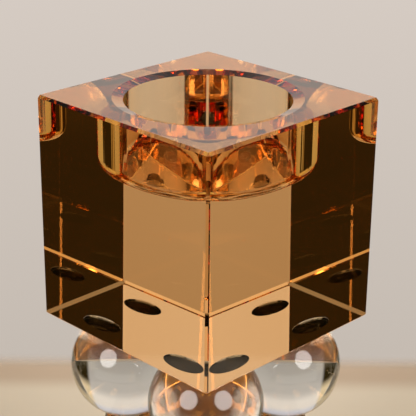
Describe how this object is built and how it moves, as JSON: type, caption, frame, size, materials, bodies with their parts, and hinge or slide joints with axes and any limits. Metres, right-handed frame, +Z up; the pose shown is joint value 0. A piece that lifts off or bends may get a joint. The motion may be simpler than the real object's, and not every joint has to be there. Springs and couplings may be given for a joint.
{
  "type": "tealight holder",
  "caption": "Crystal tealight holder: an amber glass cube with a round recess, standing on smoky crystal balls over a smaller amber cube turned to it.",
  "frame": {"origin": "middle of the holder, on the surface it stands on", "axes": "+Z up through the middle of the recess; +X and +Y square to the lower cube's sides, so the upper cube's corners point along X and Y; -Y is the front seen in the picture"},
  "size_m": [0.0838, 0.0838, 0.1442],
  "materials": {
    "amber_crystal": "polished transparent amber crystal glass, tint deepens with thickness",
    "smoky_crystal": "polished transparent smoky grey crystal glass",
    "clear_adhesive": "thin clear cured adhesive, glossy",
    "clear_silicone": "translucent satin silicone"
  },
  "bodies": {
    "root": {"upper_cube": "amber_crystal", "lower_cube": "amber_crystal", "ball_1": "smoky_crystal", "ball_2": "smoky_crystal", "ball_3": "smoky_crystal", "ball_4": "smoky_crystal", "upper_bond_1": "clear_adhesive", "upper_bond_2": "clear_adhesive", "upper_bond_3": "clear_adhesive", "upper_bond_4": "clear_adhesive", "lower_bond_1": "clear_adhesive", "lower_bond_2": "clear_adhesive", "lower_bond_3": "clear_adhesive", "lower_bond_4": "clear_adhesive", "pad_1": "clear_silicone", "pad_2": "clear_silicone", "pad_3": "clear_silicone", "pad_4": "clear_silicone"}
  },
  "joints": []
}
